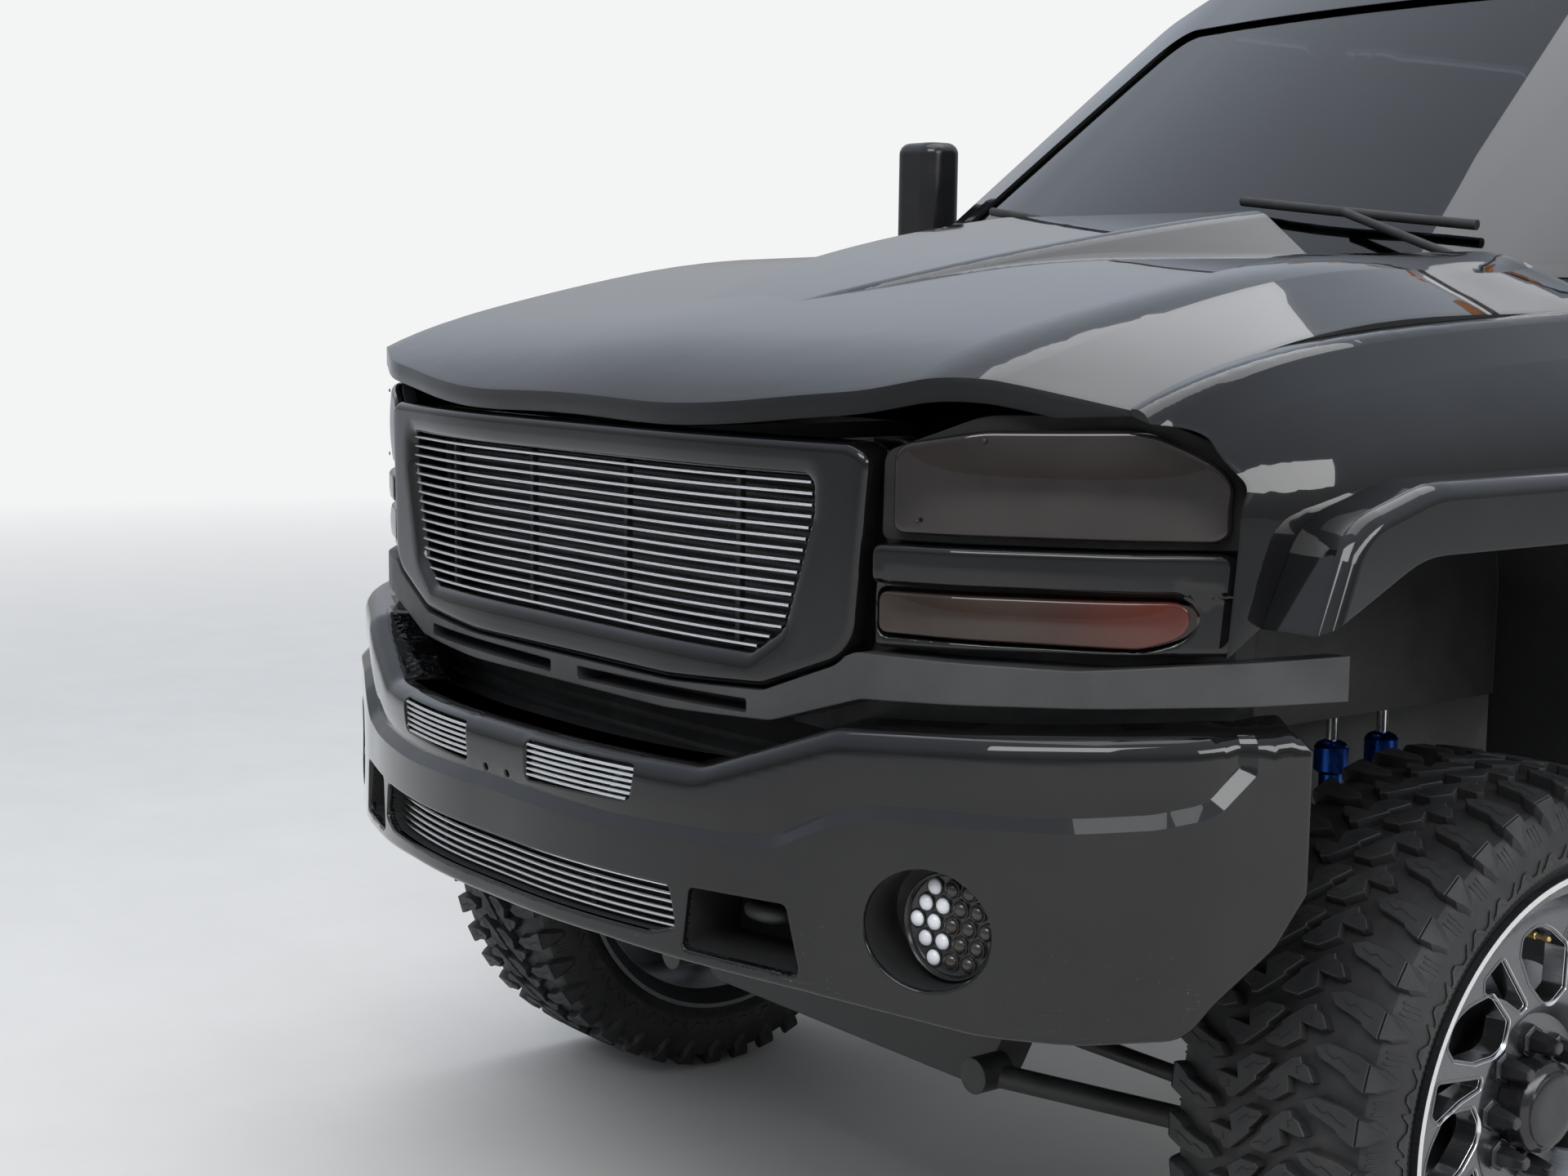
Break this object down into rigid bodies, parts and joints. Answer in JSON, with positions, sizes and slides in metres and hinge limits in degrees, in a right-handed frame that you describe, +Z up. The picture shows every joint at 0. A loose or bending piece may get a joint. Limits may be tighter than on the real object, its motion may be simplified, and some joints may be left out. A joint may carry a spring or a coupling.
{
  "type": "pickup truck",
  "caption": "Lifted black crew-cab heavy-duty pickup truck with opening doors, hood and tailgate, steered front wheels, billet grilles and mud-terrain tyres.",
  "frame": {"origin": "on the ground, midway between the front bumper's face and the rear bumper's, on the centre line", "axes": "+X to the truck's left side, -Y forwards, +Z up"},
  "size_m": [2.47, 6.027, 2.142],
  "materials": {
    "gloss_black": "gloss",
    "tinted_glass": "tinted",
    "black_plastic": "matt",
    "dark_trim": "grained",
    "gloss_trim": "gloss",
    "lamp_black": "gloss",
    "polished_aluminium": "polished",
    "smoked_lens": "smoked",
    "amber_lens": "smoked amber",
    "red_lens": "gloss",
    "radiator_alloy": "dull",
    "chassis_black": "satin",
    "bronze_anodised": "satin",
    "engine_iron": "dull",
    "axle_iron": "satin",
    "knuckle_iron": "cast",
    "spring_steel": "matt",
    "exhaust_steel": "weathered",
    "cabin_plastic": "grained",
    "seat_leather": "grained",
    "tyre_rubber": "matt",
    "wheel_alloy": "brushed gunmetal"
  },
  "bodies": {
    "body": {"frame": "chassis_black", "cab_shell": "gloss_black", "cab_glass": "tinted_glass", "front_fenders": "gloss_black", "wheel_arch_flares": "gloss_black", "wheel_liners": "black_plastic", "front_bumper": "gloss_black", "billet_grilles": "polished_aluminium", "grille_surround": "gloss_black", "headlamps": "smoked_lens", "lamp_bezels": "gloss_black", "amber_lamps": "amber_lens", "front_valance": "dark_trim", "fog_lamps": "lamp_black", "radiator_support": "black_plastic", "radiator": "radiator_alloy", "engine": "engine_iron", "control_arms": "chassis_black", "shock_absorbers": "bronze_anodised", "rear_axle": "axle_iron", "leaf_springs": "spring_steel", "driveline": "axle_iron", "front_axle": "axle_iron", "exhaust": "exhaust_steel", "fuel_tank": "black_plastic", "cargo_bed": "gloss_black", "tail_lamps": "red_lens", "rear_bumper": "gloss_black", "dashboard": "cabin_plastic", "seats": "seat_leather", "cowl_panel": "dark_trim", "wipers": "black_plastic"},
    "hood": {"hood": "gloss_black"},
    "door_front_left": {"door_front_left": "gloss_black", "door_glass_front_left": "tinted_glass", "mirror_left": "gloss_trim"},
    "door_front_right": {"door_front_right": "gloss_black", "door_glass_front_right": "tinted_glass", "mirror_right": "gloss_trim"},
    "door_rear_left": {"door_rear_left": "gloss_black", "door_glass_rear_left": "tinted_glass"},
    "door_rear_right": {"door_rear_right": "gloss_black", "door_glass_rear_right": "tinted_glass"},
    "tailgate": {"tailgate": "gloss_black"},
    "knuckle_left": {"steering_knuckle_left": "knuckle_iron"},
    "knuckle_right": {"steering_knuckle_right": "knuckle_iron"},
    "tie_rod": {"tie_rod": "chassis_black"},
    "wheel_front_left": {"tyre_front_left": "tyre_rubber", "wheel_front_left": "wheel_alloy"},
    "wheel_front_right": {"tyre_front_right": "tyre_rubber", "wheel_front_right": "wheel_alloy"},
    "wheel_rear_left": {"tyre_rear_left": "tyre_rubber", "wheel_rear_left": "wheel_alloy"},
    "wheel_rear_right": {"tyre_rear_right": "tyre_rubber", "wheel_rear_right": "wheel_alloy"}
  },
  "joints": [
    {"name": "hood_hinge", "type": "hinge", "parent": "body", "child": "hood", "pos_m": [0, -1.6535, 1.4495], "axis": [-1, 0, 0], "range_deg": [0, 45]},
    {"name": "door_front_left_hinge", "type": "hinge", "parent": "body", "child": "door_front_left", "pos_m": [0.957, -1.3735, 1.1], "axis": [0, 0, -1], "range_deg": [0, 65]},
    {"name": "door_front_right_hinge", "type": "hinge", "parent": "body", "child": "door_front_right", "pos_m": [-0.957, -1.3735, 1.1], "axis": [0, 0, 1], "range_deg": [0, 65]},
    {"name": "door_rear_left_hinge", "type": "hinge", "parent": "body", "child": "door_rear_left", "pos_m": [0.957, -0.3255, 1.1], "axis": [0, 0, -1], "range_deg": [0, 65]},
    {"name": "door_rear_right_hinge", "type": "hinge", "parent": "body", "child": "door_rear_right", "pos_m": [-0.957, -0.3255, 1.1], "axis": [0, 0, 1], "range_deg": [0, 65]},
    {"name": "tailgate_hinge", "type": "hinge", "parent": "body", "child": "tailgate", "pos_m": [0, 2.8575, 1.062], "axis": [-1, 0, 0], "range_deg": [0, 90]},
    {"name": "steering_left", "type": "hinge", "parent": "body", "child": "knuckle_left", "pos_m": [0.8, -2.0445, 0.44], "axis": [0, 0, 1], "range_deg": [-30, 30]},
    {"name": "steering_right", "type": "hinge", "parent": "body", "child": "knuckle_right", "pos_m": [-0.8, -2.0445, 0.44], "axis": [0, 0, 1], "range_deg": [-30, 30]},
    {"name": "tie_rod_slide", "type": "slide", "parent": "body", "child": "tie_rod", "axis": [1, 0, 0], "range_m": [-0.0786, 0.0786]},
    {"name": "wheel_front_left_spin", "type": "hinge", "parent": "knuckle_left", "child": "wheel_front_left", "pos_m": [0.912, -2.0445, 0.44], "axis": [1, 0, 0], "continuous": true},
    {"name": "wheel_front_right_spin", "type": "hinge", "parent": "knuckle_right", "child": "wheel_front_right", "pos_m": [-0.912, -2.0445, 0.44], "axis": [1, 0, 0], "continuous": true},
    {"name": "wheel_rear_left_spin", "type": "hinge", "parent": "body", "child": "wheel_rear_left", "pos_m": [0.912, 1.8415, 0.44], "axis": [1, 0, 0], "continuous": true},
    {"name": "wheel_rear_right_spin", "type": "hinge", "parent": "body", "child": "wheel_rear_right", "pos_m": [-0.912, 1.8415, 0.44], "axis": [1, 0, 0], "continuous": true}
  ],
  "couplings": [
    {"joint": "steering_right", "follows": "steering_left", "ratio": 1},
    {"joint": "tie_rod_slide", "follows": "steering_left", "m_per_rad": 0.15}
  ]
}
